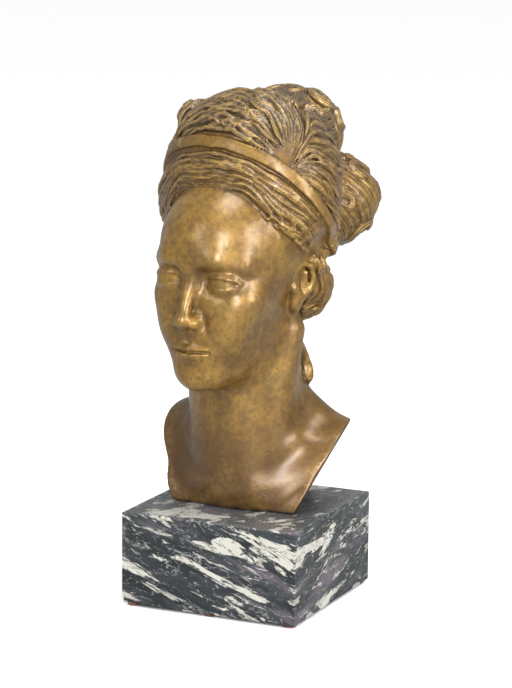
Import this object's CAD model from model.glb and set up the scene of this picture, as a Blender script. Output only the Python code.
import math

import bpy
import numpy as np
from mathutils import Matrix, Vector, kdtree


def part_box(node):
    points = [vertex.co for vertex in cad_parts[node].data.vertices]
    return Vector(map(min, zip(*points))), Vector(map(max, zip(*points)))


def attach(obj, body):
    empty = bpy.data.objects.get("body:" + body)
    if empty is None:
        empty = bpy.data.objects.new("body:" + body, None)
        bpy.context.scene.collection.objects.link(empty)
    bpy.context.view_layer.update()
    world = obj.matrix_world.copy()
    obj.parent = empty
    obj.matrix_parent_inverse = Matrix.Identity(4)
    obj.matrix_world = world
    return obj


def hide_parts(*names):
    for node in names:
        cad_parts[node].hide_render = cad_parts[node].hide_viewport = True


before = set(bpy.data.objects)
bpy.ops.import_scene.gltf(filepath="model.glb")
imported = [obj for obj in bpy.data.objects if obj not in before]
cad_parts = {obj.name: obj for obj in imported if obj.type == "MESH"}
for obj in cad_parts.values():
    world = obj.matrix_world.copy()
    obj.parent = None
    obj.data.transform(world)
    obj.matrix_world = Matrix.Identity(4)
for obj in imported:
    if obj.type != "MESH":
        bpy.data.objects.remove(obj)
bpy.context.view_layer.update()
lowest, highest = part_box("plinth")
blockOrigin = np.array([(lowest.x + highest.x) / 2, (lowest.y + highest.y) / 2, lowest.z])
print("frame loaded, block stands at", [round(v * 1000, 2) for v in blockOrigin])

scene = bpy.context.scene

# photograph's view, millimetres in the block's frame, degrees
cameraSetup = {
    "focalPixels": 2543.341,
    "azimuth": 24.673,
    "elevation": 10.772,
    "roll": 0.47,
    "distance": 2426.604,
    "target": (0, 0, 260),
    "aside": 6.537,
    "above": -15.228,
    "pictureHeight": 688,
}


def placeCamera(setup):
    a, e, r = (math.radians(setup[key]) for key in ("azimuth", "elevation", "roll"))
    back = Vector((math.sin(a) * math.cos(e), -math.cos(a) * math.cos(e), math.sin(e)))
    level = (-back).cross(Vector((0, 0, 1))).normalized()
    top = level.cross(-back)
    right = level * math.cos(r) + top * math.sin(r)
    up = top * math.cos(r) - level * math.sin(r)
    spot = Vector(setup["target"]) + back * setup["distance"] + right * setup["aside"] + up * setup["above"]
    camera = bpy.data.cameras.new("camera")
    camera.sensor_fit = "VERTICAL"
    camera.lens = setup["focalPixels"] * camera.sensor_height / setup["pictureHeight"]
    camera.clip_end = 50
    holder = bpy.data.objects.new("camera", camera)
    scene.collection.objects.link(holder)
    turn = Matrix((right, up, back)).transposed()
    holder.matrix_world = Matrix.Translation(Vector(blockOrigin) + spot / 1000) @ turn.to_4x4()
    scene.camera = holder
    return back


viewBack = placeCamera(cameraSetup)
print("camera placed")

# distances: negative inside, millimetres


def smoothJoin(a, b, blend):
    h = np.maximum(blend - np.abs(a - b), 0) / blend
    return np.minimum(a, b) - h * h * (blend / 4)


def cutAway(a, b, blend):
    return -smoothJoin(-a, b, blend)


def ball(x, y, z, centre, size):
    a = (x - centre[0]) / size[0]
    b = (y - centre[1]) / size[1]
    c = (z - centre[2]) / size[2]
    near = np.sqrt(a * a + b * b + c * c + 1e-9)
    slope = np.sqrt((a / size[0]) ** 2 + (b / size[1]) ** 2 + (c / size[2]) ** 2 + 1e-14)
    return near * (near - 1) / slope


def rod(x, y, z, start, end, startRadius, endRadius):
    dx, dy, dz = (end[n] - start[n] for n in range(3))
    px, py, pz = x - start[0], y - start[1], z - start[2]
    t = np.clip((px * dx + py * dy + pz * dz) / (dx * dx + dy * dy + dz * dz), 0, 1)
    gap = np.sqrt((px - dx * t) ** 2 + (py - dy * t) ** 2 + (pz - dz * t) ** 2)
    return gap - (startRadius + (endRadius - startRadius) * t)


def roundedBox(x, y, z, centre, half, radius):
    qx = np.abs(x - centre[0]) - half[0] + radius
    qy = np.abs(y - centre[1]) - half[1] + radius
    qz = np.abs(z - centre[2]) - half[2] + radius
    outside = np.sqrt(np.maximum(qx, 0) ** 2 + np.maximum(qy, 0) ** 2 + np.maximum(qz, 0) ** 2)
    return outside + np.minimum(np.maximum(np.maximum(qx, qy), qz), 0) - radius


def bell(t, width):
    return np.exp(-(t * t) / (width * width))


# same named sizes as the solids
bust = {
    "footFront": -29.5,
    "farShoulderRise": 5,
    "edgeRounding": 2.4,
    "third": 67.5,
    "headCentre": (-5, -2, 307.5),
    "headTurn": 10,
    "headNod": 2,
    "headScale": 0.925,
    "blockHeight": 90,
    "gap": 0.3,
    "cell": 1.2,
    "quickCell": 2.2,
    "triangles": 190000,
    "low": (-112, -122, 84),
    "high": (112, 176, 516),
    "lockBlend": 0.8,
    "grooveDepth": 0.9,
}
# planes that cut off the shoulders
cuts = (
    {"side": 1, "footHalfWidth": 61.3, "backward": 0.27, "outward": 0.58},
    {"side": -1, "footHalfWidth": 66.6, "backward": 0.404, "outward": 0.565},
)
chin = -102
noseFoot = chin + bust["third"]
browLevel = noseFoot + bust["third"]
eyeLevel = chin + 1.69 * bust["third"]
mouthLevel = noseFoot - bust["third"] / 3


def mouth(x, y, z, skin):
    z = z - mouthLevel
    upper = rod(x, y, z, (2.5, -98.6, 3.2), (20, -95, 0.7), 4.2, 2)
    upper = smoothJoin(upper, ball(x, y, z, (0, -98.8, 2.4), (4.5, 4.4, 4)), 3)
    lower = rod(x, y, z, (4, -98, -5.4), (17, -95, -2.6), 4.8, 2.6)
    d = smoothJoin(skin, smoothJoin(upper, lower, 1), 4)
    d = cutAway(d, rod(x, y, z, (0, -101, -0.9), (22.5, -95.4, -0.3), 1.6, 1.3), 2)
    d = cutAway(d, ball(x, y, z, (0, -107, -15), (14, 9, 6)), 7)
    return cutAway(d, rod(x, y, z, (0, -101.4, 9), (0, -103, 17), 2.8, 3), 4)


def eye(x, y, z, skin):
    radius = 13.6
    lx = (x - 31.5) * 0.8
    ly = y + 78
    lz = z - eyeLevel + (x - 31.5) * 0.03
    reach = np.sqrt(lx * lx + ly * ly + lz * lz)
    upper = cutAway(reach - radius - 2, math.sin(0.42) * ly + math.cos(0.42) * lz, 1)
    lower = cutAway(reach - radius - 1.5, math.sin(0.31) * ly - math.cos(0.31) * lz, 1)
    return smoothJoin(smoothJoin(smoothJoin(skin, lower, 4.5), upper, 3), reach - radius, 0.4)


def nose(x, y, z, skin):
    z = z - noseFoot
    d = rod(x, y, z, (0, -89, eyeLevel + 10 - noseFoot), (0, -106.5, 13), 7, 6.2)
    d = smoothJoin(d, ball(x, y, z, (0, -107.5, 9.2), (7.2, 8.2, 7.2)), 7)
    d = smoothJoin(d, ball(x, y, z, (10, -99, 6.4), (5.4, 8.4, 6)), 7)
    d = smoothJoin(d, ball(x, y, z, (0, -101, 3.4), (3.4, 9, 4.6)), 4)
    d = smoothJoin(skin, d, 9)
    d = cutAway(d, ball(x, y, z, (6, -103, 0.6), (2.6, 5, 3.2)), 2.5)
    return cutAway(d, ball(x, y, z, (18.5, -98, 6.5), (2, 4, 6)), 6)


earRim = ((63, -5, 3), (66, -2, 16), (69, 7, 22), (72, 16, 18), (72.5, 20, 6), (70, 17, -6), (65, 10, -15))


def ear(x, y, z):
    d = ball(x, y, z, (62, 8, 0), (7, 14, 22))
    for start, end in zip(earRim, earRim[1:]):
        d = smoothJoin(d, rod(x, y, z, start, end, 2.8, 2.8), 2.5)
    d = cutAway(d, ball(x, y, z, (71, 7, 1), (6, 7, 12)), 2)
    d = smoothJoin(d, rod(x, y, z, (68, 13, 11), (66, 12, -8), 2.2, 2.2), 3)
    d = smoothJoin(d, ball(x, y, z, (65, -4, -3), (4, 4, 5.5)), 3)
    return smoothJoin(d, ball(x, y, z, (62, 4, -19), (4.5, 6.5, 8)), 4)


def skull(x, y, z):
    d = ball(x, y, z, (0, -2, 44), (73, 90, 77))
    d = smoothJoin(d, ball(x, y, z, (0, -42, -8), (59, 51, 68)), 26)
    d = smoothJoin(d, ball(x, y, z, (0, -50, 46), (54, 47.5, 46)), 14)
    d = smoothJoin(d, ball(x, y, z, (0, -44, -50), (43, 46, 44)), 20)
    d = smoothJoin(d, rod(x, y, z, (34, -18, -50), (14, -78, -82), 11, 12), 30)
    d = smoothJoin(d, ball(x, y, z, (0, -82, -84), (18, 16.5, 17)), 14)
    return smoothJoin(d, ball(x, y, z, (0, -46, -80), (32, 38, 17)), 16)


def face(xSigned, y, z):
    x = np.abs(xSigned)
    d = skull(x, y, z)
    near = np.abs(d) <= 34
    if not near.any():
        return d
    x, y, z, skin = x[near], y[near], z[near], d[near]
    skin = smoothJoin(skin, ball(x, y, z, (41, -63, -8), (19, 20, 16)), 20)
    skin = smoothJoin(skin, ball(x, y, z, (27, -73, -34), (22, 18, 26)), 20)
    skin = smoothJoin(skin, ball(x, y, z, (0, -76, -56), (29, 22, 28)), 14)
    innerBrow = rod(x, y, z, (5, -89, browLevel - 3), (27, -86, browLevel + 2), 7, 7)
    outerBrow = rod(x, y, z, (27, -86, browLevel + 2), (49, -70, browLevel - 4), 7, 5.5)
    skin = smoothJoin(skin, smoothJoin(innerBrow, outerBrow, 9), 14)
    skin = cutAway(skin, ball(x, y, z, (32.5, -101, eyeLevel + 1), (21, 17, 13)), 9)
    skin = cutAway(skin, ball(x, y, z, (17.5, -99, eyeLevel + 3), (7.5, 10, 10)), 9)
    d[near] = mouth(x, y, z, nose(x, y, z, eye(x, y, z, skin)))
    return d


def head(x, y, z):
    return smoothJoin(face(x, y, z), ear(np.abs(x), y, z), 3)


def torso(xSigned, y, z):
    x = np.sqrt(xSigned * xSigned + 36)
    level = z - bust["farShoulderRise"] * np.clip(-xSigned / 80, 0, 1)
    d = rod(xSigned, y, z, (-10, 2, 310), (-5, 12, 130), 53, 56)
    d = smoothJoin(d, roundedBox(x, y, level, (0, 16, 66), (150, 46, 60), 40), 22)
    d = smoothJoin(d, rod(x, y, level, (36, 38, 122), (125, 40, 132), 40, 40), 24)
    d = smoothJoin(d, rod(x, y, level, (16, 42, 190), (112, 40, 118), 22, 23), 18)
    d = smoothJoin(d, rod(x, y, level, (34, 2, 146), (92, 22, 138), 14, 14), 26)
    d = smoothJoin(d, rod(x, y, z, (46, 2, 262), (16, -19, 124), 8, 5), 22)
    return smoothJoin(d, rod(x, y, level, (19, -25, 108), (98, 12, 140), 8, 4), 20)


# hair: heaps that the locks lie on, in the head's frame
hairHeaps = {
    "cap": {"at": (3, 9, 96), "size": (91, 90, 95), "blend": 1},
    "nearSide": {"at": (61, -24, 50), "size": (42, 54, 54), "blend": 14},
    "overEar": {"at": (66, 12, 42), "size": (40, 42, 36), "blend": 14},
    "farSide": {"at": (-65, -26, 46), "size": (44, 54, 58), "blend": 14},
    "bun": {"at": (5, 130, 66), "size": (62, 50, 46), "blend": 10},
    "knot": {"at": (4, 83, 142), "size": (50, 43, 42), "blend": 16},
    "farWave": {"at": (-64, 30, 154), "size": (24, 32, 20), "blend": 6},
    "nape": {"at": (2, 45, -20), "size": (69, 38, 61), "blend": 20},
}
# hair is bare inside a ball over the face and below the ears' tops, and thickens away from there
hairline = {
    "forehead": {"at": (0, -70, -31), "size": (115, 77, 137)},
    "earLevel": 30,
    "behindEar": 22,
    "blend": 16,
    "slope": 1.3,
    "rounding": 10,
}


def hair(x, y, z):
    d = None
    for heap in hairHeaps.values():
        one = ball(x, y, z, heap["at"], heap["size"])
        d = one if d is None else smoothJoin(d, one, heap["blend"])
    forehead = ball(x, y, z, hairline["forehead"]["at"], hairline["forehead"]["size"])
    bare = smoothJoin(forehead, z - hairline["earLevel"], hairline["blend"])
    bare = cutAway(bare, hairline["behindEar"] - y, 12)
    rise = hairline["slope"] * np.maximum(skull(np.abs(x), y, z), 0)
    bare = (bare - rise) / math.hypot(1, hairline["slope"])
    return cutAway(d, bare, hairline["rounding"])


def hairOrSkin(x, y, z):
    return np.minimum(hair(x, y, z), face(x, y, z))


# locks: guide lines as directions from the crown's centre, degrees round from the front and up
crownCentre = np.array([0.0, 10, 60])
lockSteps = 26
wispSteps = 12
lockFamilies = {
    "fringe": {
        "locks": 10,
        "strands": 1,
        "wisps": 22,
        "height": 3.4,
        "thinTo": 0.45,
        "wave": 1.8,
        "turns": 4.2,
        "guides": (
            ((-16, 51), (5, 52), (24, 49.5), (37, 45.5), (50, 38.5), (62, 29.5), (75, 16), (89, 0), (101, -10)),
            ((-16, 42), (5, 42.5), (22, 41), (35, 38), (47, 30), (58, 20.5), (70, 10), (86, -4), (98, -14)),
            ((-16, 31), (4, 31), (19, 30.5), (33, 28), (42, 20), (51, 9.5), (63, 2), (82, -9), (94, -18)),
        ),
    },
    "temple": {
        "locks": 4,
        "strands": 1,
        "wisps": 6,
        "height": 2.6,
        "thinTo": 0.5,
        "wave": 1.6,
        "turns": 2.4,
        "guides": (
            ((46, 17), (56, 9), (67, 2), (78, -5), (90, -13)),
            ((48, 11), (57, 2), (67, -6), (77, -14), (88, -21)),
        ),
    },
    "crest": {
        "locks": 6,
        "strands": 2,
        "wisps": 8,
        "height": 4.8,
        "wave": 1.6,
        "turns": 1.6,
        "guides": (
            ((75, 43), (88, 54), (102, 62), (124, 60), (150, 50), (172, 42)),
            ((70, 40), (83, 48), (98, 49), (118, 42), (142, 30), (166, 22)),
        ),
    },
    "sweep": {
        "locks": 15,
        "strands": 2,
        "wisps": 34,
        "height": 4.4,
        "wave": 1.8,
        "turns": 1.9,
        "guides": (
            ((-16, 60.5), (6, 62), (24, 59.5), (42, 52.5), (60, 41.5)),
            ((-24, 70), (12, 72), (38, 66), (53, 56), (62.5, 43)),
            ((-50, 80), (30, 84), (66, 75), (73, 59), (66, 44.5)),
            ((170, 84), (120, 77), (98, 67), (87, 55), (72, 45)),
        ),
    },
    "top": {
        "locks": 5,
        "strands": 2,
        "wisps": 6,
        "height": 4.2,
        "wave": 1.4,
        "turns": 1.2,
        "guides": (
            ((92, 61), (118, 66), (148, 60), (174, 48)),
            ((104, 72), (132, 75), (158, 68), (178, 54)),
            ((140, 86), (164, 82), (178, 72), (184, 58)),
        ),
    },
    "swirl": {
        "locks": 9,
        "root": 0.6,
        "strands": 2,
        "wisps": 16,
        "height": 4.8,
        "wave": 1.2,
        "turns": 1.5,
        "guides": (
            ((66, 39), (80, 47.5), (97, 48), (117, 41.5), (141, 29.5), (164, 21.5)),
            ((66, 35.5), (77, 36), (88, 29), (103, 20), (124, 11), (148, 4)),
            ((69, 31.5), (78, 25), (88, 15), (100, 3), (116, -6), (136, -10)),
        ),
    },
    "back": {
        "locks": 7,
        "strands": 2,
        "wisps": 8,
        "height": 4.6,
        "wave": 1.8,
        "turns": 2,
        "guides": (
            ((101, -4), (114, -6), (128, 0), (140, 8)),
            ((108, -20), (124, -18), (142, -12), (156, -6)),
            ((150, -34), (160, -30), (170, -24), (176, -14)),
        ),
    },
    "underBun": {
        "locks": 5,
        "strands": 2,
        "wisps": 6,
        "height": 4.4,
        "wave": 1.6,
        "turns": 1.8,
        "guides": (
            ((181, -13), (181, -27), (181, -41), (181, -56)),
            ((164, -20), (168, -33), (173, -46), (178, -58)),
            ((148, -32), (158, -43), (169, -53), (177, -62)),
        ),
    },
    "nape": {
        "locks": 7,
        "strands": 3,
        "wisps": 14,
        "height": 6.2,
        "wave": 3.6,
        "turns": 2.2,
        "guides": (
            ((92, -14), (102, -33), (109, -51), (115, -66)),
            ((108, -24), (126, -42), (140, -57), (146, -70)),
            ((150, -36), (166, -50), (178, -61), (184, -71)),
        ),
    },
}

# curls on the two knots: way they face from the knot's middle, radius
knotCurls = (
    (70, 26, 18),
    (112, 10, 18),
    (116, 52, 18),
    (160, 32, 19),
    (40, 74, 16),
    (-70, 26, 18),
    (-112, 10, 18),
    (-116, 52, 18),
    (-160, 72, 16),
)
bunCurls = (
    (64, 2, 17),
    (92, 28, 18),
    (96, -24, 18),
    (122, 2, 18),
    (126, 46, 18),
    (148, 2, 20),
    (176, -34, 19),
    (-70, 4, 18),
    (-98, 30, 18),
    (-104, -24, 18),
    (-148, 4, 20),
    (176, 36, 19),
)
# short curls that hook forward at the temple's hairline, as headings on the head
templeCurls = (
    ((37, 31), (43, 25), (49, 18), (51.5, 12.5), (49, 9), (45.5, 11)),
    ((44, 28), (50, 21), (56.5, 13), (59, 7), (56.5, 3.5), (53, 5.5)),
    ((50, 25), (57, 17.5), (64, 9), (66.5, 2.5), (64, -1), (60.5, 1)),
    ((57, 19), (64, 11), (71, 2), (73.5, -4.5), (71, -8), (67.5, -6)),
    ((64, 12), (71, 4), (78, -5), (80.5, -11.5), (78, -15), (74.5, -13)),
)
# loose ends that hang over the forehead's corner
foreheadWisps = (
    ((40, 34), (41, 29), (40, 24), (38, 19.5)),
    ((44.5, 33), (46, 27), (45, 21), (43, 16)),
    ((49, 31), (51, 25), (50, 18), (48, 13)),
    ((33, 34), (36, 31), (37, 27.5), (36.5, 24)),
)
ringlets = (
    ((4, 62, 264), (17, 59, 246), (32, 50, 228), (41, 44, 212), (34, 50, 196)),
    ((-24, 62, 262), (-40, 56, 244), (-53, 45, 228), (-57, 41, 214), (-49, 47, 200)),
)


def heading(around, up):
    level = math.cos(math.radians(up))
    spin = math.radians(around)
    return np.array([math.sin(spin) * level, -math.cos(spin) * level, math.sin(math.radians(up))])


def alongCurve(points, t, closed=False):
    count = len(points)
    p = (count - (0 if closed else 1)) * t
    n = int(math.floor(p))
    weight = p - n
    if not closed and n >= count - 1:
        n, weight = count - 2, 1.0
    p1, p2 = points[n % count], points[(n + 1) % count]
    p0 = points[(n - 1) % count] if closed or n > 0 else 2 * points[0] - points[1]
    p3 = points[(n + 2) % count] if closed or n + 2 < count else 2 * points[-1] - points[-2]
    spans = [math.sqrt(max(np.linalg.norm(b - a), 1e-8)) for a, b in ((p0, p1), (p1, p2), (p2, p3))]
    leave = (p1 - p0) / spans[0] - (p2 - p0) / (spans[0] + spans[1]) + (p2 - p1) / spans[1]
    arrive = (p2 - p1) / spans[1] - (p3 - p1) / (spans[1] + spans[2]) + (p3 - p2) / spans[2]
    leave, arrive = leave * spans[1], arrive * spans[1]
    c2 = 3 * (p2 - p1) - 2 * leave - arrive
    c3 = 2 * (p1 - p2) + leave + arrive
    return p1 + leave * weight + c2 * weight**2 + c3 * weight**3


def dropOn(surface, centre, directions):
    directions = np.atleast_2d(directions).astype(np.float32)
    inner = np.full(len(directions), 190.0, np.float32)
    outer = inner.copy()

    def probe(reach):
        p = centre + directions * reach[:, None]
        return surface(p[:, 0], p[:, 1], p[:, 2])

    for _ in range(60):
        d = probe(inner)
        free = d >= 0
        if not free.any():
            break
        outer = np.where(free, inner, outer)
        inner = np.where(free, inner - np.maximum(0.3, d * 0.7), inner)
    for _ in range(9):
        half = (outer + inner) / 2
        inside = probe(half) < 0
        inner = np.where(inside, half, inner)
        outer = np.where(inside, outer, half)
    return centre + directions * inner[:, None]


def outwardAt(surface, points):
    slope = np.empty_like(points)
    for axis in range(3):
        step = np.zeros(3)
        step[axis] = 2
        ahead, behind = points + step, points - step
        slope[:, axis] = surface(*ahead.T) - surface(*behind.T)
    return unit(slope)


def unit(rows):
    return rows / np.maximum(np.linalg.norm(rows, axis=-1, keepdims=True), 1e-9)


def chance(seed):
    value = math.sin(seed * 127.1 + 11.7) * 43758.5453
    return value - math.floor(value)


# a lock is a row of stations: centre, way across, way out, half width and half height
def rowOfStations(points, outs, widths, heights, strands):
    points = np.asarray(points, float)
    ahead = np.concatenate([points[1:], points[-1:]])
    behind = np.concatenate([points[:1], points[:-1]])
    along = unit(ahead - behind)
    across = unit(np.cross(along, outs))
    out = unit(np.cross(across, along))
    return {
        "centre": points,
        "across": across,
        "out": out,
        "width": np.asarray(widths, float),
        "height": np.asarray(heights, float),
        "strands": strands,
    }


# seams between a family's locks, which wander a little so that no two locks are alike
def seamsOf(count, seed, along):
    seams = []
    for j in range(count + 1):
        loose = 0 if j in (0, count) else 1
        drift = 0.4 * (chance(seed + j * 2.3) - 0.5)
        sway = 0.14 * np.sin(9 * along + 6.3 * chance(seed + j * 4.1))
        seams.append((j + loose * (drift + sway)) / count)
    return seams


def locksOfFamily(family, curves, seed):
    count = family["locks"]
    along = np.linspace(0, 1, lockSteps + 1)
    seams = seamsOf(count, seed, along)
    directions = []
    for i in range(lockSteps + 1):
        rungs = [alongCurve(curve, along[i]) for curve in curves]
        directions += [alongCurve(rungs, seam[i]) for seam in seams]
    ground = dropOn(hairOrSkin, crownCentre, unit(np.array(directions)))
    lines = ground.reshape(lockSteps + 1, count + 1, 3)
    middles = (lines[:, :-1] + lines[:, 1:]) / 2
    outs = outwardAt(hairOrSkin, middles.reshape(-1, 3)).reshape(middles.shape)
    locks = []
    for j in range(count):
        half = np.linalg.norm(lines[:, j] - lines[:, j + 1], axis=1) / 2
        sideways = unit(lines[:, j + 1] - lines[:, j])
        swing = 2 * math.pi * (family["turns"] * along + 0.35 * chance(seed + j * 3.1))
        begin = 0.09 * chance(seed * 1.7 + j * 5.3)
        root = family.get("root", 0.12)
        ends = np.clip(root + 9 * (along - begin), root, 1) * np.minimum(1, 0.15 + 3.5 * (1 - along))
        thinning = 1 + (family.get("thinTo", 1) - 1) * (j + 0.5) / count
        tall = np.minimum(family["height"], 0.9 * half + 1.2) * (0.8 + 0.4 * chance(seed + j * 7.7))
        tall = tall * ends * thinning
        p = middles[:, j] + sideways * (family["wave"] * np.sin(swing) * np.minimum(1, half / 4))[:, None]
        lift = 0.2 * tall + 0.9 * np.cos(swing * 1.6 + j) * thinning - (1 - ends) * 2.2
        p = p + outs[:, j] * lift[:, None]
        width = np.maximum(1.4, half * 1.16) * ends
        locks.append(rowOfStations(p, outs[:, j], width, np.maximum(0.8, tall), family["strands"]))
    return locks


# fine strands that stray over a family's locks
def wispsOfFamily(family, curves, seed):
    along = np.linspace(0, 1, wispSteps + 1)
    wisps = []
    for w in range(family["wisps"]):
        begin = 0.55 * chance(seed + w * 1.9)
        span = 0.25 + 0.2 * chance(seed + w * 2.9)
        level = 0.04 + 0.92 * chance(seed + w * 5.1)
        share = level + 0.16 * (chance(seed + w * 6.7) - 0.5) * along + 0.02 * np.sin(8 * along + w)
        share = np.clip(share, 0.02, 0.98)
        directions = []
        for t, across in zip(along, share):
            directions.append(alongCurve([alongCurve(curve, begin + span * t) for curve in curves], across))
        p = dropOn(hairOrSkin, crownCentre, unit(np.array(directions)))
        outs = outwardAt(hairOrSkin, p)
        ends = np.minimum(1, 0.2 + 3 * along) * np.minimum(1, 0.2 + 3 * (1 - along))
        thinning = 1 + (family.get("thinTo", 1) - 1) * level
        rise = family["height"] * thinning * (0.55 + 0.4 * ends)
        size = 1.8 + 0.9 * chance(seed + w * 8.3)
        wisps.append(rowOfStations(p + outs * rise[:, None], outs, size * ends, size * ends, 1))
    return wisps


# short loose end that lies on the skin
def looseEnd(path, width=2.4, height=2.2, point=0.25):
    spots = [heading(*spot) for spot in path]
    along = np.linspace(0, 1, wispSteps + 1)
    p = dropOn(hairOrSkin, crownCentre, unit(np.array([alongCurve(spots, t) for t in along])))
    outs = outwardAt(hairOrSkin, p)
    taper = np.minimum(1, 0.4 + 3 * along) * (1 - (1 - point) * along)
    return rowOfStations(p + outs * 0.5 * height, outs, width * taper, height * taper, round(width / 1.8))


def heapSurface(heap):
    def surface(x, y, z):
        return ball(x, y, z, heap["at"], heap["size"])

    return surface


# comma of hair wound on a surface, seen from a middle point inside it
def curlOn(surface, middle, direction, radius, turns, hand, thick, lift=(0.1, 0.46)):
    middle = np.array(middle, float)
    root = dropOn(surface, middle, direction)
    out = outwardAt(surface, root)[0]
    first = unit(np.cross((0, 0, 1), out))
    second = np.cross(out, first)
    steps = 10 + int(turns * 16)
    along = np.linspace(0, 1, steps + 1)
    angle = hand * 2 * math.pi * turns * along + radius
    reach = radius * (0.16 + 1.3 * (1 - along) ** 1.5)
    flat = root + first * (reach * np.cos(angle))[:, None] + second * (reach * np.sin(angle))[:, None]
    p = dropOn(surface, middle, unit(flat - middle))
    outs = outwardAt(surface, p)
    p = p + outs * (np.interp(along, (0, 1), lift) * radius * np.minimum(1, 4 * along))[:, None]
    taper = np.minimum(1, 0.3 + 3 * along) * (1 - 0.4 * along)
    return rowOfStations(p, outs, thick * taper, thick * taper, 3)


# strands that wind from a knot's root to its pole
def windings(heap, pole, count, twist, height, lowTilt):
    surface = heapSurface(heap)
    middle = np.array(heap["at"], float)
    pole = unit(np.array(pole, float))
    first = unit(np.cross(pole, (1, 0.3, 0.2)))
    second = np.cross(pole, first)
    along = np.linspace(0, 1, 22)
    tilt = np.radians(lowTilt + (86 - lowTilt) * along)
    rows = []
    for j in range(count):
        spin = 2 * math.pi * j / count + math.radians(twist) * along + 0.16 * np.sin(5 * along + 2.4 * j)
        level = first * np.cos(spin)[:, None] + second * np.sin(spin)[:, None]
        p = dropOn(surface, middle, pole * np.sin(tilt)[:, None] + level * np.cos(tilt)[:, None])
        outs = outwardAt(surface, p)
        girth = np.linalg.norm(p - middle, axis=1) * np.cos(tilt)
        half = np.maximum(1.5, 1.15 * math.pi * girth / count)
        tall = np.minimum(height, 0.3 + half * 0.8) * (0.8 + 0.4 * chance(j * 3.3))
        p = p + outs * (0.15 * height + 1.2 * np.sin(7 * along + 1.9 * j))[:, None]
        rows.append(rowOfStations(p, outs, half, tall, 4))
    return rows


def hairLocks():
    locks = []
    for index, family in enumerate(lockFamilies.values()):
        for side in (1, -1):
            curves = [[heading(around * side, up) for around, up in guide] for guide in family["guides"]]
            locks += locksOfFamily(family, curves, 10 * index + side)
            locks += wispsOfFamily(family, curves, 10 * index + side + 0.5)
    bun, knot = hairHeaps["bun"], hairHeaps["knot"]
    locks += windings(bun, (0.1, 1, -0.1), 15, 130, 6, -40)
    locks += windings(knot, (0, 0.4, 1), 12, -90, 5, -30)
    for heap, curls in ((knot, knotCurls), (bun, bunCurls)):
        for index, (around, up, radius) in enumerate(curls):
            hand = 1 if index % 2 else -1
            way = heading(around, up)
            surface = heapSurface(heap)
            locks.append(curlOn(surface, heap["at"], way, radius, 0.85, hand, 0.42 * radius, (0.14, 0.3)))
    farWave = hairHeaps["farWave"]
    locks.append(curlOn(heapSurface(farWave), farWave["at"], heading(-60, 35), 15, 1.2, 1, 5))
    for side in (1, -1):
        locks += [looseEnd([(side * around, up) for around, up in path], 3.7, 3.6, 0.35) for path in templeCurls]
        locks += [looseEnd([(side * around, up) for around, up in path]) for path in foreheadWisps]
    return [toBlock(row) for row in locks] + [ringletRow(path) for path in ringlets]


# loose lock down the back of the neck, in the block's frame
def ringletRow(path):
    spots = [np.array(spot, float) for spot in path]
    along = np.linspace(0, 1, 24)
    p = np.array([alongCurve(spots, t) for t in along])
    outs = unit(p - np.array([-6, 7, 0]) * [1, 1, 0] - np.stack([0 * along, 0 * along, p[:, 2]], -1))
    taper = np.minimum(1, 0.6 + 2 * along) * np.minimum(1, 0.35 + 3 * (1 - along))
    return rowOfStations(p, outs, 8.4 * taper, 7.4 * taper, 3)


band = {
    "halfWidth": 5.4,
    "halfThickness": 2.4,
    "stand": 2.2,
    "channel": 0.6,
    "channelDepth": 2,
    "steps": 96,
    "path": (
        (-3, 56.5),
        (10, 56.5),
        (24, 54),
        (37.5, 50),
        (48, 45.5),
        (61, 36.5),
        (72.5, 25.5),
        (84, 12),
        (92, 3),
        (105, -6),
        (116, -18),
        (140, -32),
        (184, -38),
    ),
}


# the band itself, and the channel that it presses into the locks
def bandRows():
    oneSide = [heading(*spot) for spot in band["path"]]
    otherSide = [heading(-6 - around, up) for around, up in band["path"][1:-1]][::-1]
    ring = oneSide + otherSide
    directions = np.array([alongCurve(ring, i / band["steps"], True) for i in range(band["steps"] + 1)])
    p = dropOn(hairOrSkin, crownCentre, unit(directions))
    out = outwardAt(hairOrSkin, p)
    count = len(p)
    rows = []
    for wider, thicker in ((0, 0), (band["channel"], band["channelDepth"])):
        widths = [band["halfWidth"] + wider] * count
        heights = [band["halfThickness"] + thicker] * count
        rows.append(toBlock(rowOfStations(p + out * (band["stand"] + thicker * 0.8), out, widths, heights, 0)))
    return rows


# head's frame to the block's
def rotation(axis, angle):
    return np.array(Matrix.Rotation(angle, 3, axis))


headTurn = rotation("Z", -math.radians(bust["headTurn"])) @ rotation("X", math.radians(bust["headNod"]))


def toBlock(row):
    placed = dict(row)
    placed["centre"] = row["centre"] @ headTurn.T * bust["headScale"] + np.array(bust["headCentre"])
    placed["across"] = row["across"] @ headTurn.T
    placed["out"] = row["out"] @ headTurn.T
    placed["width"] = row["width"] * bust["headScale"]
    placed["height"] = row["height"] * bust["headScale"]
    return placed


def fleshAndHair(x, y, z):
    p = np.stack([x, y, z], -1) - np.array(bust["headCentre"], np.float32)
    hx, hy, hz = ((p @ headTurn.astype(np.float32)) / bust["headScale"]).T
    scale = bust["headScale"]
    flesh = smoothJoin(head(hx, hy, hz) * scale, torso(x, y, z), 14)
    return smoothJoin(flesh, hair(hx, hy, hz) * scale, 1.5)


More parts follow.
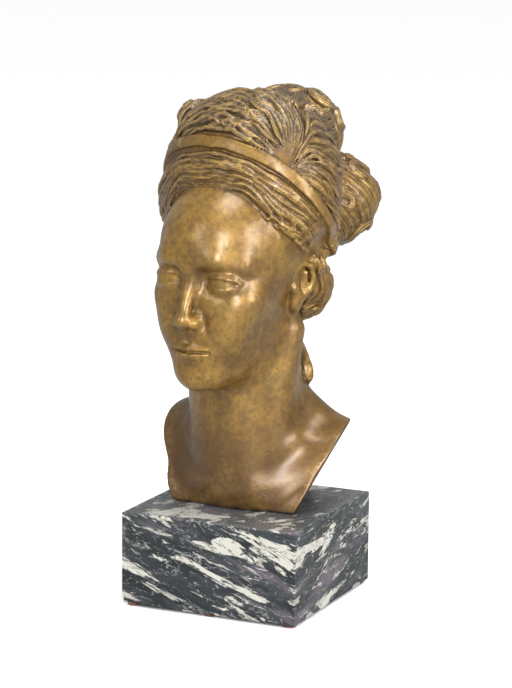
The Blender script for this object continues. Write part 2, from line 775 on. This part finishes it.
class Grid:
    def __init__(self, low, high, cell):
        self.low = np.array(low, np.float32)
        self.cell = cell
        self.shape = tuple(int(math.ceil((high[n] - low[n]) / cell)) + 1 for n in range(3))
        self.axes = [self.low[n] + np.arange(self.shape[n], dtype=np.float32) * cell for n in range(3)]

    def fill(self, distance):
        size = 8
        values = np.empty(self.shape, np.float32)
        blocks = [range(0, count, size) for count in self.shape]
        starts = np.array([(i, j, k) for i in blocks[0] for j in blocks[1] for k in blocks[2]])
        middles = self.low + (starts + size / 2).astype(np.float32) * self.cell
        rough = np.concatenate([distance(*part.T) for part in np.array_split(middles, 1 + len(middles) // 60000)])
        safe = size * self.cell * 1.5 + 4
        for (i, j, k), value in zip(starts, rough):
            if abs(value) > safe:
                values[i : i + size, j : j + size, k : k + size] = value
        nearStarts = starts[np.abs(rough) <= safe]
        local = np.stack(np.meshgrid(*[np.arange(size)] * 3, indexing="ij"), -1).reshape(-1, 3)
        batch = 120
        for begin in range(0, len(nearStarts), batch):
            cells = (nearStarts[begin : begin + batch, None] + local[None]).reshape(-1, 3)
            cells = cells[(cells < self.shape).all(1)]
            p = self.low + cells.astype(np.float32) * self.cell
            values[cells[:, 0], cells[:, 1], cells[:, 2]] = distance(*p.T)
        return values

    def layRow(self, values, row, square=False, groove=0.0):
        for n in range(len(row["centre"]) - 1):
            self.lay(values, row, n, square, groove)

    # lower the values around one stretch of a lock
    def lay(self, values, row, n, square, groove):
        start, end = row["centre"][n], row["centre"][n + 1]
        wide = max(row["width"][n], row["width"][n + 1], row["height"][n], row["height"][n + 1])
        reach = wide + 2 * self.cell
        least = np.minimum(start, end) - reach
        most = np.maximum(start, end) + reach
        first = np.maximum(0, np.floor((least - self.low) / self.cell)).astype(int)
        last = np.minimum(np.array(self.shape) - 1, np.ceil((most - self.low) / self.cell)).astype(int) + 1
        if (first >= last).any():
            return
        x, y, z = (self.axes[a][first[a] : last[a]] - start[a] for a in range(3))
        x, y, z = x[:, None, None], y[None, :, None], z[None, None, :]
        along = (end - start).astype(np.float32)
        span = float(along @ along) + 1e-9
        t = np.clip((x * along[0] + y * along[1] + z * along[2]) / span, 0, 1)
        x, y, z = x - along[0] * t, y - along[1] * t, z - along[2] * t
        tangent = along / math.sqrt(span)
        width = row["width"][n] + (row["width"][n + 1] - row["width"][n]) * t
        height = row["height"][n] + (row["height"][n + 1] - row["height"][n]) * t

        def between(key):
            a, b = row[key][n], row[key][n + 1]
            atStart = x * a[0] + y * a[1] + z * a[2]
            atEnd = x * b[0] + y * b[1] + z * b[2]
            return atStart + (atEnd - atStart) * t

        a, b = between("across"), between("out")
        c = x * tangent[0] + y * tangent[1] + z * tangent[2]
        if square:
            edgeA, edgeB = np.abs(a) - width, np.abs(b) - height
            outside = np.sqrt(np.maximum(edgeA, 0) ** 2 + np.maximum(edgeB, 0) ** 2 + c * c)
            d = outside + np.minimum(np.maximum(edgeA, edgeB), 0) - 0.4
        else:
            thin = np.minimum(width, height)
            qa, qb, qc = a / width, b / height, c / thin
            near = np.sqrt(qa * qa + qb * qb + qc * qc + 1e-9)
            slope = np.sqrt((qa / width) ** 2 + (qb / height) ** 2 + (qc / thin) ** 2 + 1e-12)
            d = near * (near - 1) / slope
            if groove and row["strands"] > 1:
                sway = 0.22 * np.sin(0.9 * (n + t) + row["centre"][0][0])
                phase = (np.clip(qa, -1, 1) + 1) / 2 * row["strands"] + sway
                depth = groove * np.minimum(1, width / row["strands"] / 1.8)
                d = d + depth * (0.5 + 0.5 * np.cos(2 * math.pi * phase))
        view = values[first[0] : last[0], first[1] : last[1], first[2] : last[2]]
        np.minimum(view, d, out=view)

    # one point in each cell that the surface crosses, one quad over each grid edge that it crosses
    def skin(self, values):
        inside = values < 0
        corners = [(i, j, k) for i in (0, 1) for j in (0, 1) for k in (0, 1)]
        cellShape = tuple(s - 1 for s in self.shape)

        def shifted(array, corner):
            return array[tuple(slice(corner[n], corner[n] + cellShape[n]) for n in range(3))]

        tally = np.zeros(cellShape, np.int8)
        for corner in corners:
            tally += shifted(inside, corner)
        crossed = (tally > 0) & (tally < 8)
        cells = np.argwhere(crossed)
        at = {corner: values[tuple((cells + corner).T)] for corner in corners}
        total = np.zeros((len(cells), 3), np.float32)
        crossings = np.zeros(len(cells), np.float32)
        for corner in corners:
            for axis in range(3):
                if corner[axis]:
                    continue
                other = tuple(1 if n == axis else corner[n] for n in range(3))
                va, vb = at[corner], at[other]
                split = (va < 0) != (vb < 0)
                t = va[split] / (va[split] - vb[split])
                spot = np.tile(np.array(corner, np.float32), (len(t), 1))
                spot[:, axis] += t
                total[split] += spot
                crossings[split] += 1
        points = self.low + (cells + total / crossings[:, None]) * self.cell
        number = np.full(cellShape, -1, np.int32)
        number[crossed] = np.arange(len(cells), dtype=np.int32)
        quads = []
        for axis in range(3):
            ahead = tuple(slice(1, None) if n == axis else slice(None) for n in range(3))
            behind = tuple(slice(None, -1) if n == axis else slice(None) for n in range(3))
            a, b = inside[behind], inside[ahead]
            edges = np.argwhere(a != b)
            u, v = (axis + 1) % 3, (axis + 2) % 3
            keep = (edges[:, u] > 0) & (edges[:, v] > 0)
            keep &= (edges[:, u] < cellShape[u]) & (edges[:, v] < cellShape[v])
            edges = edges[keep]
            out = a[tuple(edges.T)]
            stepU, stepV = np.eye(3, dtype=int)[u], np.eye(3, dtype=int)[v]
            ring = [edges - stepU - stepV, edges - stepV, edges, edges - stepU]
            quad = np.stack([number[tuple(one.T)] for one in ring], -1)
            quad[~out] = quad[~out][:, ::-1]
            quads.append(quad)
        return points, np.concatenate(quads)


# keep the outer skin alone
def largestPiece(points, quads):
    label = np.arange(len(points))
    pairs = np.concatenate([quads[:, [0, 1]], quads[:, [1, 2]], quads[:, [2, 3]]])
    while True:
        a, b = label[pairs[:, 0]], label[pairs[:, 1]]
        differ = a != b
        if not differ.any():
            break
        low, high = np.minimum(a, b)[differ], np.maximum(a, b)[differ]
        np.minimum.at(label, high, low)
        for _ in range(4):
            label = label[label]
    best = np.bincount(label).argmax()
    kept = label == best
    number = np.cumsum(kept) - 1
    quads = quads[kept[quads[:, 0]]]
    return points[kept], number[quads]


def meshObject(name, points, faces):
    mesh = bpy.data.meshes.new(name)
    sides = faces.shape[1]
    mesh.vertices.add(len(points))
    mesh.vertices.foreach_set("co", np.ascontiguousarray(points, np.float32).ravel())
    mesh.loops.add(faces.size)
    mesh.loops.foreach_set("vertex_index", np.ascontiguousarray(faces, np.int32).ravel())
    mesh.polygons.add(len(faces))
    mesh.polygons.foreach_set("loop_start", np.arange(0, faces.size, sides, dtype=np.int32))
    mesh.update(calc_edges=True)
    thing = bpy.data.objects.new(name, mesh)
    scene.collection.objects.link(thing)
    return thing


# how far a point lies inside the slanting cut that takes a shoulder off
def insideCut(cut, x, y, z):
    normal = np.array([cut["side"], cut["backward"], -cut["outward"]])
    normal = normal / np.linalg.norm(normal)
    corner = (cut["side"] * cut["footHalfWidth"], bust["footFront"], bust["blockHeight"])
    inside = (corner[0] - x) * normal[0] + (corner[1] - y) * normal[1] + (corner[2] - z) * normal[2]
    return np.asarray(inside, np.float32)


def onCut(points):
    nearest = np.minimum(*(np.abs(insideCut(cut, *points.T)) for cut in cuts))
    return np.clip(1.6 - nearest, 0, 1)


def buildBust():
    import time

    t0 = time.time()
    cell = bust["cell"]
    grid = Grid(bust["low"], bust["high"], cell)
    print("grid", grid.shape)
    values = grid.fill(fleshAndHair)
    print("filled", round(time.time() - t0, 1))
    laid = np.full(grid.shape, 1000, np.float32)
    locks = hairLocks()
    print("locks", len(locks), round(time.time() - t0, 1))
    for row in locks:
        grid.layRow(laid, row, groove=bust["grooveDepth"])
    print("laid", round(time.time() - t0, 1))
    ribbon, channel = bandRows()
    path = np.full(grid.shape, 1000, np.float32)
    grid.layRow(path, channel, square=True)
    laid = np.maximum(laid, -path)
    near = laid < 40
    values[near] = smoothJoin(values[near], laid[near], bust["lockBlend"])
    grid.layRow(values, ribbon, square=True)
    x, y, z = (axis.reshape([-1 if n == m else 1 for m in range(3)]) for n, axis in enumerate(grid.axes))
    for cut in cuts:
        values = cutAway(values, insideCut(cut, x, y, z), bust["edgeRounding"])
    under = (z - bust["blockHeight"] - bust["gap"]).astype(np.float32)
    values = cutAway(values, under + 0 * x + 0 * y, 1.2)
    print("cut", round(time.time() - t0, 1))
    points, quads = largestPiece(*grid.skin(values))
    print("skinned", len(points), len(quads), round(time.time() - t0, 1))
    return points, quads, locks, grid, values


# marks on the surface: how deep it lies, and where a strand of hair runs
def sampleField(grid, values, points):
    spot = (points - grid.low) / grid.cell
    spot = np.clip(spot, 0, np.array(grid.shape) - 1.001)
    base = np.floor(spot).astype(int)
    part = spot - base
    total = 0
    for i in (0, 1):
        for j in (0, 1):
            for k in (0, 1):
                weight = np.abs(1 - i - part[:, 0]) * np.abs(1 - j - part[:, 1]) * np.abs(1 - k - part[:, 2])
                total = total + weight * values[base[:, 0] + i, base[:, 1] + j, base[:, 2] + k]
    return total


def reliefOf(points, normals, edges, rounds):
    count = len(points)
    degree = np.bincount(edges.ravel(), minlength=count).astype(float)
    smooth = points.copy()
    for _ in range(rounds):
        total = np.zeros_like(smooth)
        for axis in range(3):
            total[:, axis] = np.bincount(edges[:, 0], smooth[edges[:, 1], axis], count)
            total[:, axis] += np.bincount(edges[:, 1], smooth[edges[:, 0], axis], count)
        smooth = 0.4 * smooth + 0.6 * total / np.maximum(degree, 1)[:, None]
    return ((points - smooth) * normals).sum(1)


def combingOf(points, locks):
    spots, frames = [], []
    for number, row in enumerate(locks):
        run = 0.0
        for n in range(len(row["centre"]) - 1):
            gap = float(np.linalg.norm(row["centre"][n + 1] - row["centre"][n]))
            for share in (0.0, 0.33, 0.67):
                mixed = [row[key][n] * (1 - share) + row[key][n + 1] * share for key in ("centre", "across", "out")]
                width = row["width"][n] * (1 - share) + row["width"][n + 1] * share
                height = row["height"][n] * (1 - share) + row["height"][n + 1] * share
                spots.append(mixed[0])
                frames.append((*mixed[1], *mixed[2], width, height, run + gap * share, number))
            run += gap
    frames = np.array(frames)
    tree = kdtree.KDTree(len(spots))
    for n, spot in enumerate(spots):
        tree.insert(spot, n)
    tree.balance()
    combing = np.zeros((len(points), 3))
    for at, point in enumerate(points):
        best, least = None, 1.35
        for centre, n, _ in tree.find_n(point, 4):
            line = frames[n]
            offset = point - np.array(centre)
            a, b = offset @ line[0:3], offset @ line[3:6]
            if offset @ offset - a * a - b * b > 16:
                continue
            reach = math.hypot(a / line[6], b / line[7])
            if reach < least:
                best, least = (a, line[8] + 40 * line[9], max(0.0, 1 - (abs(a) / line[6]) ** 4)), reach
        if best:
            combing[at] = best
    return combing


def setMark(mesh, name, kind, numbers):
    mark = mesh.attributes.new(name, kind, "POINT")
    mark.data.foreach_set("vector" if kind == "FLOAT_VECTOR" else "value", np.ascontiguousarray(numbers, np.float32).ravel())


points, quads, locks, grid, values = buildBust()
lowest, highest = (np.array(corner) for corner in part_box("bust"))
placedPoints = np.clip(points / 1000 + blockOrigin, lowest, highest)
bustPiece = meshObject("gilt_bust", placedPoints, quads)
print("bust made of", len(quads), "quads")
thin = bustPiece.modifiers.new("thin", "DECIMATE")
thin.ratio = bust["triangles"] / (2 * len(quads))
bpy.context.view_layer.update()
graph = bpy.context.evaluated_depsgraph_get()
thinned = bpy.data.meshes.new_from_object(bustPiece.evaluated_get(graph))
bustPiece.modifiers.clear()
bustPiece.data = thinned
corners = np.empty(len(thinned.vertices) * 3, np.float32)
thinned.vertices.foreach_get("co", corners)
corners = np.clip(corners.reshape(-1, 3), lowest + 1e-6, highest - 1e-6)
thinned.vertices.foreach_set("co", corners.astype(np.float32).ravel())
thinned.update()
print("thinned to", len(thinned.polygons))
bustMesh = bustPiece.data
bustMesh.polygons.foreach_set("use_smooth", np.ones(len(bustMesh.polygons), bool))
spots = np.empty(len(bustMesh.vertices) * 3, np.float32)
bustMesh.vertices.foreach_get("co", spots)
spots = (spots.reshape(-1, 3) - blockOrigin) * 1000
normals = np.empty(len(bustMesh.vertices) * 3, np.float32)
bustMesh.vertex_normals.foreach_get("vector", normals)
normals = normals.reshape(-1, 3)
edges = np.empty(len(bustMesh.edges) * 2, np.int32)
bustMesh.edges.foreach_get("vertices", edges)
edges = edges.reshape(-1, 2)
fine = reliefOf(spots, normals, edges, 5)
broad = reliefOf(spots, normals, edges, 40)
hollow = np.mean([np.clip((d - sampleField(grid, values, spots + normals * d)) / d, 0, 1) for d in (3, 7, 14)], 0)
setMark(bustMesh, "relief", "FLOAT", np.clip(0.5 + fine / 1.4 + broad / 6, 0, 1))
setMark(bustMesh, "hollow", "FLOAT", hollow)
setMark(bustMesh, "cut", "FLOAT", onCut(spots))
setMark(bustMesh, "combing", "FLOAT_VECTOR", combingOf(spots, locks))
print("surface marked")
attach(bustPiece, "root")
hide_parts("bust")


class Nodes:
    def __init__(self, tree):
        self.tree = tree

    def add(self, kind, **settings):
        node = self.tree.nodes.new(kind)
        for key, value in settings.items():
            setattr(node, key, value)
        return node

    def put(self, socket, value):
        if isinstance(value, bpy.types.NodeSocket):
            self.tree.links.new(value, socket)
        elif isinstance(value, (tuple, list)) and len(value) == 3 and socket.type == "RGBA":
            socket.default_value = (*value, 1)
        else:
            socket.default_value = value

    def math(self, operation, a, b=0.5, c=0.0, clamp=False):
        node = self.add("ShaderNodeMath", operation=operation, use_clamp=clamp)
        for socket, value in zip(node.inputs, (a, b, c)):
            self.put(socket, value)
        return node.outputs[0]

    def ramp(self, value, low, high, toLow=0.0, toHigh=1.0):
        node = self.add("ShaderNodeMapRange", interpolation_type="SMOOTHSTEP", clamp=True)
        for socket, number in zip(node.inputs, (value, low, high, toLow, toHigh)):
            self.put(socket, number)
        return node.outputs[0]

    def blend(self, share, a, b, kind="MIX"):
        node = self.add("ShaderNodeMix", data_type="RGBA", blend_type=kind)
        self.put(node.inputs[0], share)
        self.put(node.inputs[6], a)
        self.put(node.inputs[7], b)
        return node.outputs[2]

    def noise(self, where, scale, detail=4.0, roughness=0.55, distortion=0.0):
        node = self.add("ShaderNodeTexNoise")
        self.put(node.inputs["Vector"], where)
        for key, value in (("Scale", scale), ("Detail", detail), ("Roughness", roughness), ("Distortion", distortion)):
            self.put(node.inputs[key], value)
        return node.outputs["Fac"]

    def place(self, longer=(1, 1, 1), turn=(0, 0, 0)):
        where = self.add("ShaderNodeTexCoord").outputs["Object"]
        node = self.add("ShaderNodeMapping", vector_type="TEXTURE")
        self.put(node.inputs["Vector"], where)
        node.inputs["Rotation"].default_value = turn
        node.inputs["Scale"].default_value = longer
        return node.outputs["Vector"]

    def group(self, tree, **numbers):
        node = self.add("ShaderNodeGroup", node_tree=tree)
        for key, value in numbers.items():
            self.put(node.inputs[key], value)
        return node


def newGroup(name, inputs, outputs):
    tree = bpy.data.node_groups.new(name, "ShaderNodeTree")
    for key, kind, value in inputs:
        socket = tree.interface.new_socket(key, in_out="INPUT", socket_type=kind)
        if value is not None:
            socket.default_value = value
    for key, kind in outputs:
        tree.interface.new_socket(key, in_out="OUTPUT", socket_type=kind)
    n = Nodes(tree)
    return tree, n, n.add("NodeGroupInput"), n.add("NodeGroupOutput")


# soft blotches between two levels, used by bronze, marble and felt
def makeBlotches():
    tree, n, into, out = newGroup(
        "blotches",
        [("Vector", "NodeSocketVector", None), ("Scale", "NodeSocketFloat", 20.0), ("From", "NodeSocketFloat", 0.4), ("To", "NodeSocketFloat", 0.6)],
        [("Mask", "NodeSocketFloat")],
    )
    cloud = n.noise(into.outputs["Vector"], into.outputs["Scale"], 5.0, 0.6, 0.4)
    n.put(out.inputs["Mask"], n.ramp(cloud, into.outputs["From"], into.outputs["To"]))
    return tree


# small pits and grain as a height, used by bronze, marble and felt
def makeGrain():
    tree, n, into, out = newGroup(
        "grain",
        [("Vector", "NodeSocketVector", None), ("Scale", "NodeSocketFloat", 400.0), ("Pits", "NodeSocketFloat", 0.3)],
        [("Height", "NodeSocketFloat"), ("Pit Mask", "NodeSocketFloat")],
    )
    fine = n.noise(into.outputs["Vector"], into.outputs["Scale"], 3.0, 0.6)
    coarse = n.noise(into.outputs["Vector"], n.math("MULTIPLY", into.outputs["Scale"], 0.31), 2.0, 0.5)
    pit = n.ramp(coarse, 0.3, 0.38, 1.0, 0.0)
    deep = n.math("MULTIPLY", pit, into.outputs["Pits"])
    n.put(out.inputs["Height"], n.math("SUBTRACT", fine, deep))
    n.put(out.inputs["Pit Mask"], pit)
    return tree


blotches = makeBlotches()
grain = makeGrain()


def newMaterial(name):
    material = bpy.data.materials.new(name)
    material.use_nodes = True
    n = Nodes(material.node_tree)
    return material, n, material.node_tree.nodes["Principled BSDF"]


bronze = {
    "gold": (0.385, 0.216, 0.034),
    "olive": (0.18, 0.118, 0.025),
    "brown": (0.1, 0.045, 0.011),
    "worn": (0.52, 0.32, 0.085),
    "recess": (0.042, 0.025, 0.012),
    "grey": (0.13, 0.105, 0.078),
    "shadow": (0.06, 0.035, 0.028),
    "roughness": (0.36, 0.6),
    "coatRoughness": 0.27,
    "strandPitch": 2.4,  # mm
}


def bronzeMaterial():
    material, n, shader = newMaterial("giltBronze")
    where = n.place()
    relief = n.add("ShaderNodeAttribute", attribute_name="relief").outputs["Fac"]
    hollow = n.add("ShaderNodeAttribute", attribute_name="hollow").outputs["Fac"]
    combing = n.add("ShaderNodeAttribute", attribute_name="combing").outputs["Vector"]
    comb = n.add("ShaderNodeSeparateXYZ")
    n.put(comb.inputs[0], combing)
    height = n.add("ShaderNodeSeparateXYZ")
    n.put(height.inputs[0], where)
    hairShare = n.ramp(comb.outputs[2], 0.0, 0.3)

    cut = n.add("ShaderNodeAttribute", attribute_name="cut").outputs["Fac"]
    brushed = n.place((1, 1, 3.3))

    cloudy = n.group(blotches, Vector=where, Scale=13.0, From=0.36, To=0.62).outputs["Mask"]
    olive = n.group(blotches, Vector=where, Scale=24.0, From=0.48, To=0.62).outputs["Mask"]
    streaks = n.group(blotches, Vector=brushed, Scale=80.0, From=0.42, To=0.66).outputs["Mask"]
    patchy = n.group(blotches, Vector=where, Scale=62.0, From=0.44, To=0.64).outputs["Mask"]
    mottle = n.group(blotches, Vector=where, Scale=170.0, From=0.42, To=0.62).outputs["Mask"]
    specks = n.group(blotches, Vector=where, Scale=330.0, From=0.58, To=0.7).outputs["Mask"]
    grains = n.group(grain, Vector=where, Scale=900.0, Pits=0.5)

    colour = n.blend(n.math("MULTIPLY", cloudy, 0.65), bronze["gold"], bronze["brown"])
    colour = n.blend(n.math("MULTIPLY", olive, 0.5), colour, bronze["olive"])
    colour = n.blend(n.math("MULTIPLY", streaks, 0.3), colour, bronze["brown"])
    colour = n.blend(n.math("MULTIPLY", patchy, 0.35), colour, bronze["gold"])
    colour = n.blend(n.math("MULTIPLY", mottle, 0.4), colour, bronze["brown"])
    colour = n.blend(n.math("MULTIPLY", specks, 0.5), colour, bronze["recess"])
    colour = n.blend(n.math("MULTIPLY", hairShare, 0.35), colour, bronze["brown"])
    farSide = n.ramp(height.outputs[0], -0.035, -0.09, 0.0, 0.5)
    colour = n.blend(farSide, colour, bronze["shadow"])
    chest = n.ramp(height.outputs[2], 0.215, 0.12, 0.0, 0.8)
    colour = n.blend(chest, colour, bronze["brown"])
    crown = n.math("MULTIPLY", n.ramp(height.outputs[2], 0.40, 0.47), n.math("MULTIPLY", hairShare, 0.7))
    colour = n.blend(crown, colour, bronze["grey"])
    ridge = n.math("MULTIPLY", n.ramp(relief, 0.6, 1.0), n.math("MULTIPLY_ADD", hairShare, 0.5, 0.15))
    ridge = n.math("MULTIPLY", ridge, n.ramp(mottle, 0.0, 1.0, 1.0, 0.35))
    colour = n.blend(ridge, colour, bronze["worn"])
    groove = n.math("MULTIPLY", n.ramp(relief, 0.48, 0.1), n.math("MULTIPLY_ADD", hairShare, 0.4, 0.2))
    shade = n.ramp(hollow, 0.3, 0.85, 0.0, 0.8)
    shade = n.math("MULTIPLY", shade, n.math("MULTIPLY_ADD", hairShare, 0.6, 0.4))
    dirt = n.math("MAXIMUM", n.math("MAXIMUM", groove, shade), n.math("MULTIPLY", cut, 0.8))
    colour = n.blend(dirt, colour, bronze["recess"])
    wobble = n.math("MULTIPLY", n.noise(where, 90.0, 2.0), 5.0)
    lines = n.math("SINE", n.math("MULTIPLY_ADD", comb.outputs[0], 2 * math.pi / bronze["strandPitch"], wobble))
    lines = n.math("MULTIPLY", lines, comb.outputs[2])
    colour = n.blend(n.ramp(lines, 0.2, 1.0, 0.0, 0.35), colour, bronze["worn"])
    colour = n.blend(n.ramp(lines, -0.2, -1.0, 0.0, 0.3), colour, bronze["recess"])
    foot = n.ramp(n.math("ADD", height.outputs[2], n.math("MULTIPLY", patchy, 0.004)), 0.0985, 0.0935)
    colour = n.blend(n.math("MULTIPLY", foot, 0.8), colour, bronze["recess"])
    n.put(shader.inputs["Base Color"], colour)

    dull = n.math("ADD", n.math("MULTIPLY", cloudy, 0.5), n.math("MULTIPLY", dirt, 0.5))
    rough = n.ramp(dull, 0.0, 1.0, *bronze["roughness"])
    n.put(shader.inputs["Roughness"], rough)
    n.put(shader.inputs["Metallic"], n.ramp(dirt, 0.2, 1.0, 0.6, 0.3))
    shader.inputs["Coat Roughness"].default_value = bronze["coatRoughness"]
    n.put(shader.inputs["Coat Weight"], n.ramp(dirt, 0.1, 0.9, 0.8, 0.05))

    total = n.math("MULTIPLY_ADD", lines, 0.28, n.math("MULTIPLY", grains.outputs["Height"], 0.12))
    total = n.math("ADD", total, n.math("MULTIPLY", n.noise(where, 45.0, 3.0), 0.35))
    bump = n.add("ShaderNodeBump")
    bump.inputs["Strength"].default_value = 0.9
    bump.inputs["Distance"].default_value = 0.0012
    n.put(bump.inputs["Height"], total)
    n.put(shader.inputs["Normal"], bump.outputs[0])
    return material


bustMesh.materials.clear()
bustMesh.materials.append(bronzeMaterial())

marble = {
    "ground": (0.014, 0.019, 0.021),
    "slate": (0.042, 0.048, 0.053),
    "cream": (0.50, 0.47, 0.38),
    "white": (0.56, 0.56, 0.53),
    "purple": (0.14, 0.115, 0.14),
    "bedTurn": (0.14, 0.32, 0.0),
    "roughness": 0.3,
}


def marbleMaterial():
    material, n, shader = newMaterial("veinedMarble")
    bed = n.place((1.25, 1.25, 0.3), marble["bedTurn"])
    warp = n.add("ShaderNodeTexNoise")
    n.put(warp.inputs["Vector"], bed)
    warp.inputs["Scale"].default_value = 9.0
    warp.inputs["Detail"].default_value = 3.0
    shift = n.add("ShaderNodeVectorMath", operation="MULTIPLY_ADD")
    n.put(shift.inputs[0], warp.outputs["Color"])
    shift.inputs[1].default_value = (0.06, 0.06, 0.06)
    n.put(shift.inputs[2], bed)
    bent = shift.outputs[0]
    upright = n.add("ShaderNodeNewGeometry").outputs["Normal"]
    facing = n.add("ShaderNodeSeparateXYZ")
    n.put(facing.inputs[0], upright)
    where = n.place()

    clouds = n.group(blotches, Vector=bent, Scale=12.0, From=0.42, To=0.62).outputs["Mask"]
    tint = n.group(blotches, Vector=bent, Scale=11.0, From=0.52, To=0.62).outputs["Mask"]
    lenses = n.group(blotches, Vector=bent, Scale=15.0, From=0.545, To=0.575).outputs["Mask"]
    flakes = n.group(blotches, Vector=bent, Scale=42.0, From=0.585, To=0.62).outputs["Mask"]
    torn = n.group(blotches, Vector=bent, Scale=75.0, From=0.33, To=0.43).outputs["Mask"]
    seam = n.noise(bent, 34.0, 4.0, 0.65, 0.6)
    seams = n.ramp(n.math("ABSOLUTE", n.math("SUBTRACT", seam, 0.5)), 0.004, 0.02, 0.0, 1.0)
    threads = n.noise(bent, 24.0, 4.0, 0.6, 0.5)
    thread = n.ramp(n.math("ABSOLUTE", n.math("SUBTRACT", threads, 0.47)), 0.002, 0.009, 1.0, 0.0)
    flecks = n.group(blotches, Vector=where, Scale=260.0, From=0.62, To=0.69).outputs["Mask"]

    colour = n.blend(clouds, marble["ground"], marble["slate"])
    colour = n.blend(n.math("MULTIPLY", tint, 0.6), colour, marble["purple"])
    colour = n.blend(n.math("MULTIPLY", thread, 0.35), colour, marble["white"])
    colour = n.blend(n.math("MULTIPLY", flecks, 0.4), colour, marble["white"])
    cream = n.blend(n.noise(where, 60.0), marble["cream"], marble["white"])
    pale = n.math("MULTIPLY", n.math("MAXIMUM", lenses, n.math("MULTIPLY", flakes, 0.75)), torn)
    colour = n.blend(n.math("MULTIPLY", pale, n.math("MULTIPLY_ADD", seams, 0.75, 0.25)), colour, cream)
    dust = n.ramp(facing.outputs[2], 0.5, 0.95, 0.0, 0.3)
    colour = n.blend(dust, colour, (0.16, 0.165, 0.165))
    n.put(shader.inputs["Base Color"], colour)
    grains = n.group(grain, Vector=where, Scale=700.0, Pits=0.8)
    n.put(shader.inputs["Roughness"], n.ramp(grains.outputs["Pit Mask"], 0.0, 1.0, marble["roughness"], 0.6))
    bump = n.add("ShaderNodeBump")
    bump.inputs["Strength"].default_value = 0.5
    bump.inputs["Distance"].default_value = 0.0006
    n.put(bump.inputs["Height"], grains.outputs["Height"])
    n.put(shader.inputs["Normal"], bump.outputs[0])
    return material


felt = {"colour": (0.13, 0.028, 0.02), "faded": (0.24, 0.09, 0.06)}


def feltMaterial():
    material, n, shader = newMaterial("redFelt")
    where = n.place()
    fuzz = n.group(blotches, Vector=where, Scale=900.0, From=0.4, To=0.65).outputs["Mask"]
    n.put(shader.inputs["Base Color"], n.blend(fuzz, felt["colour"], felt["faded"]))
    shader.inputs["Roughness"].default_value = 0.95
    shader.inputs["Sheen Weight"].default_value = 0.3
    grains = n.group(grain, Vector=where, Scale=1800.0, Pits=0.2)
    bump = n.add("ShaderNodeBump")
    bump.inputs["Distance"].default_value = 0.0005
    n.put(bump.inputs["Height"], grains.outputs["Height"])
    n.put(shader.inputs["Normal"], bump.outputs[0])
    return material


stone, cloth = marbleMaterial(), feltMaterial()
for name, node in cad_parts.items():
    if name == "plinth" or name.startswith("felt_pad"):
        node.data.materials.clear()
        node.data.materials.append(stone if name == "plinth" else cloth)
print("materials set")

studio = {
    "floorColour": (0.97, 0.97, 0.97),
    "floorBounce": (0.3, 0.3, 0.3),
    "worldToCamera": 1.06,
    "worldToGloss": 0.36,
    "boxes": {
        "keyBox": ((0.95, -1.9, 0.85), (0.45, 1.2), 33),
        "sideBox": ((2.0, -0.5, 0.9), (0.6, 1.2), 25),
        "fillBox": ((-0.75, -1.9, 1.2), (0.3, 1.2), 7.5),
        "topBox": ((0.35, -0.2, 2.3), (1.0, 0.8), 22),
    },
}


def buildStudio():
    mesh = bpy.data.meshes.new("floor")
    mesh.from_pydata([(-30, -30, 0), (30, -30, 0), (30, 30, 0), (-30, 30, 0)], [], [(0, 1, 2, 3)])
    floor = bpy.data.objects.new("floor", mesh)
    scene.collection.objects.link(floor)
    material, n, shader = newMaterial("paleFloor")
    seen = n.add("ShaderNodeLightPath").outputs["Is Camera Ray"]
    n.put(shader.inputs["Base Color"], n.blend(seen, studio["floorBounce"], studio["floorColour"]))
    shader.inputs["Roughness"].default_value = 0.9
    mesh.materials.append(material)
    world = bpy.data.worlds.new("studio")
    world.use_nodes = True
    n = Nodes(world.node_tree)
    plain = world.node_tree.nodes["Background"]
    plain.inputs["Color"].default_value = (1, 1, 1, 1)
    glossy = n.add("ShaderNodeLightPath").outputs["Is Glossy Ray"]
    n.put(plain.inputs["Strength"], n.ramp(glossy, 0.0, 1.0, studio["worldToCamera"], studio["worldToGloss"]))
    scene.world = world
    for name, (spot, size, power) in studio["boxes"].items():
        light = bpy.data.lights.new(name, "AREA")
        light.shape = "RECTANGLE"
        light.size, light.size_y = size
        light.energy = power
        holder = bpy.data.objects.new(name, light)
        scene.collection.objects.link(holder)
        holder.location = spot
        holder.rotation_euler = (Vector((0, 0, 0.3)) - Vector(spot)).to_track_quat("-Z", "Y").to_euler()
    scene.view_settings.view_transform = "Standard"


buildStudio()
print("studio lit")
